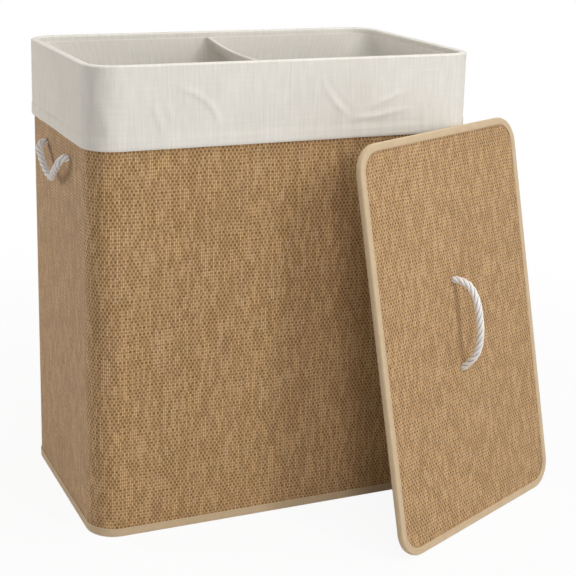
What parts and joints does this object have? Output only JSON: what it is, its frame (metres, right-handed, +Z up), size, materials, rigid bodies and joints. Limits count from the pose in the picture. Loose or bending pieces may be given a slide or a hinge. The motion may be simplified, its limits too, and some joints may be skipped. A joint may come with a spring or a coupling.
{
  "type": "laundry hamper with two bins",
  "caption": "Tall rectangular woven laundry hamper with a lift-out divided cloth liner, a fold-over cuff, rope handles and a separate lid that leans against its corner.",
  "frame": {"origin": "middle of the hamper's foot, on the underside of the base, where it meets the floor", "axes": "+Z up; +X to the right along the hamper's long front; +Y to the back; the lid stands at the front right corner"},
  "size_m": [0.6932, 0.518, 0.63],
  "materials": {
    "weave": "coarse plain weave of twisted paper-like cord, matt, straw brown",
    "board": "plain pressed board, matt",
    "plain_cloth": "plain thin lining cloth, matt",
    "liner_cloth": "off-white linen-like cloth with slubs, matt",
    "tape": "pale beige woven binding tape, matt",
    "rope": "off-white twisted cotton rope, matt",
    "rod_steel": "plain drawn steel rod"
  },
  "bodies": {
    "hamper": {"woven_wall": "weave", "wall_board": "board", "wall_lining": "plain_cloth", "foot_binding": "tape", "rim_binding": "tape", "base_cloth": "plain_cloth", "base_board": "board", "front_left_rod": "rod_steel", "front_left_sleeve": "plain_cloth", "front_right_rod": "rod_steel", "front_right_sleeve": "plain_cloth", "back_right_rod": "rod_steel", "back_right_sleeve": "plain_cloth", "back_left_rod": "rod_steel", "back_left_sleeve": "plain_cloth", "left_front_knot": "rope", "left_back_knot": "rope", "right_front_knot": "rope", "right_back_knot": "rope"},
    "liner": {"liner_cuff": "liner_cloth", "liner_left_bag": "liner_cloth", "liner_right_bag": "liner_cloth", "divider_binding": "tape"},
    "lid": {"lid_woven_face": "weave", "lid_board": "board", "lid_lining": "plain_cloth", "lid_binding": "tape", "lid_lower_knot": "rope", "lid_upper_knot": "rope"},
    "lid_handle": {"lid_rope_handle": "rope"},
    "left_handle": {"left_rope_handle": "rope"},
    "right_handle": {"right_rope_handle": "rope"}
  },
  "joints": [
    {"name": "liner_lift", "type": "slide", "parent": "hamper", "child": "liner", "axis": [0, 0, 1], "range_m": [0, 0.64]},
    {"name": "lid_lift", "type": "slide", "parent": "hamper", "child": "lid", "axis": [0, 0, 1], "range_m": [0, 0.64]},
    {"name": "lid_handle_swing", "type": "hinge", "parent": "lid", "child": "lid_handle", "pos_m": [0.22433, -0.24143, 0.27533], "axis": [-0.0818, 0.1799, 0.9803], "range_deg": [-75, 75]},
    {"name": "left_handle_swing", "type": "hinge", "parent": "hamper", "child": "left_handle", "pos_m": [-0.2793, 0, 0.497], "axis": [0, 1, 0], "range_deg": [0, 140]},
    {"name": "right_handle_swing", "type": "hinge", "parent": "hamper", "child": "right_handle", "pos_m": [0.2793, 0, 0.497], "axis": [0, -1, 0], "range_deg": [0, 140]}
  ]
}
